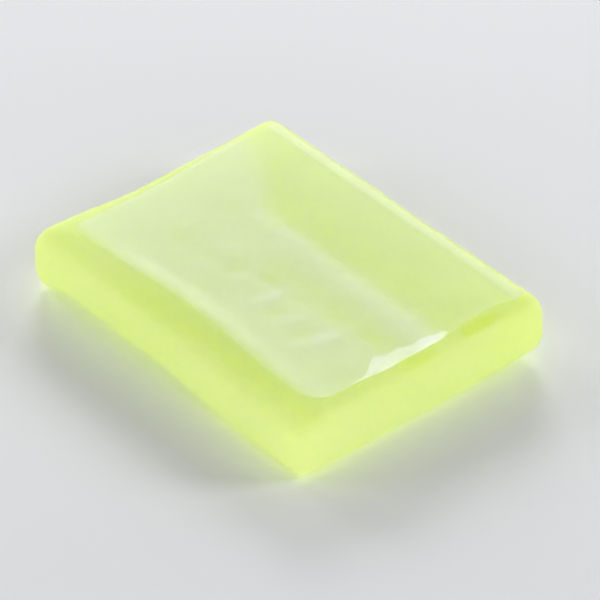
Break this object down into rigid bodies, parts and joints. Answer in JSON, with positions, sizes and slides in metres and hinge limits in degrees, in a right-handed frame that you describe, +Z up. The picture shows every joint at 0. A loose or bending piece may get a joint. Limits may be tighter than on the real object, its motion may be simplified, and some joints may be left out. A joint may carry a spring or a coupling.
{
  "type": "clay bar",
  "caption": "Soft round-edged slab of translucent yellow-green detailing clay with a thin release film on its top and its underside.",
  "frame": {"origin": "middle of the base film's underside, which is the middle of the bar's footprint", "axes": "+X along the slab's long side, towards the film's free turned-up edge; +Y along its short side; +Z up through its thickness"},
  "size_m": [0.08, 0.06, 0.0144],
  "materials": {
    "clay": "smooth, waxy and translucent, soft to the touch",
    "film": "thin clear film, lightly hazed and creased"
  },
  "bodies": {
    "base_film": {"base_release_film": "film"},
    "clay": {"clay_bar": "clay"},
    "top_film": {"top_release_film": "film"}
  },
  "joints": [
    {"name": "clay_lift", "type": "slide", "parent": "base_film", "child": "clay", "axis": [0, 0, 1], "range_m": [0, 0.03]},
    {"name": "top_film_peel", "type": "hinge", "parent": "clay", "child": "top_film", "pos_m": [-0.0345, 0.0015, 0.0144], "axis": [0, -1, 0], "range_deg": [0, 150]}
  ]
}
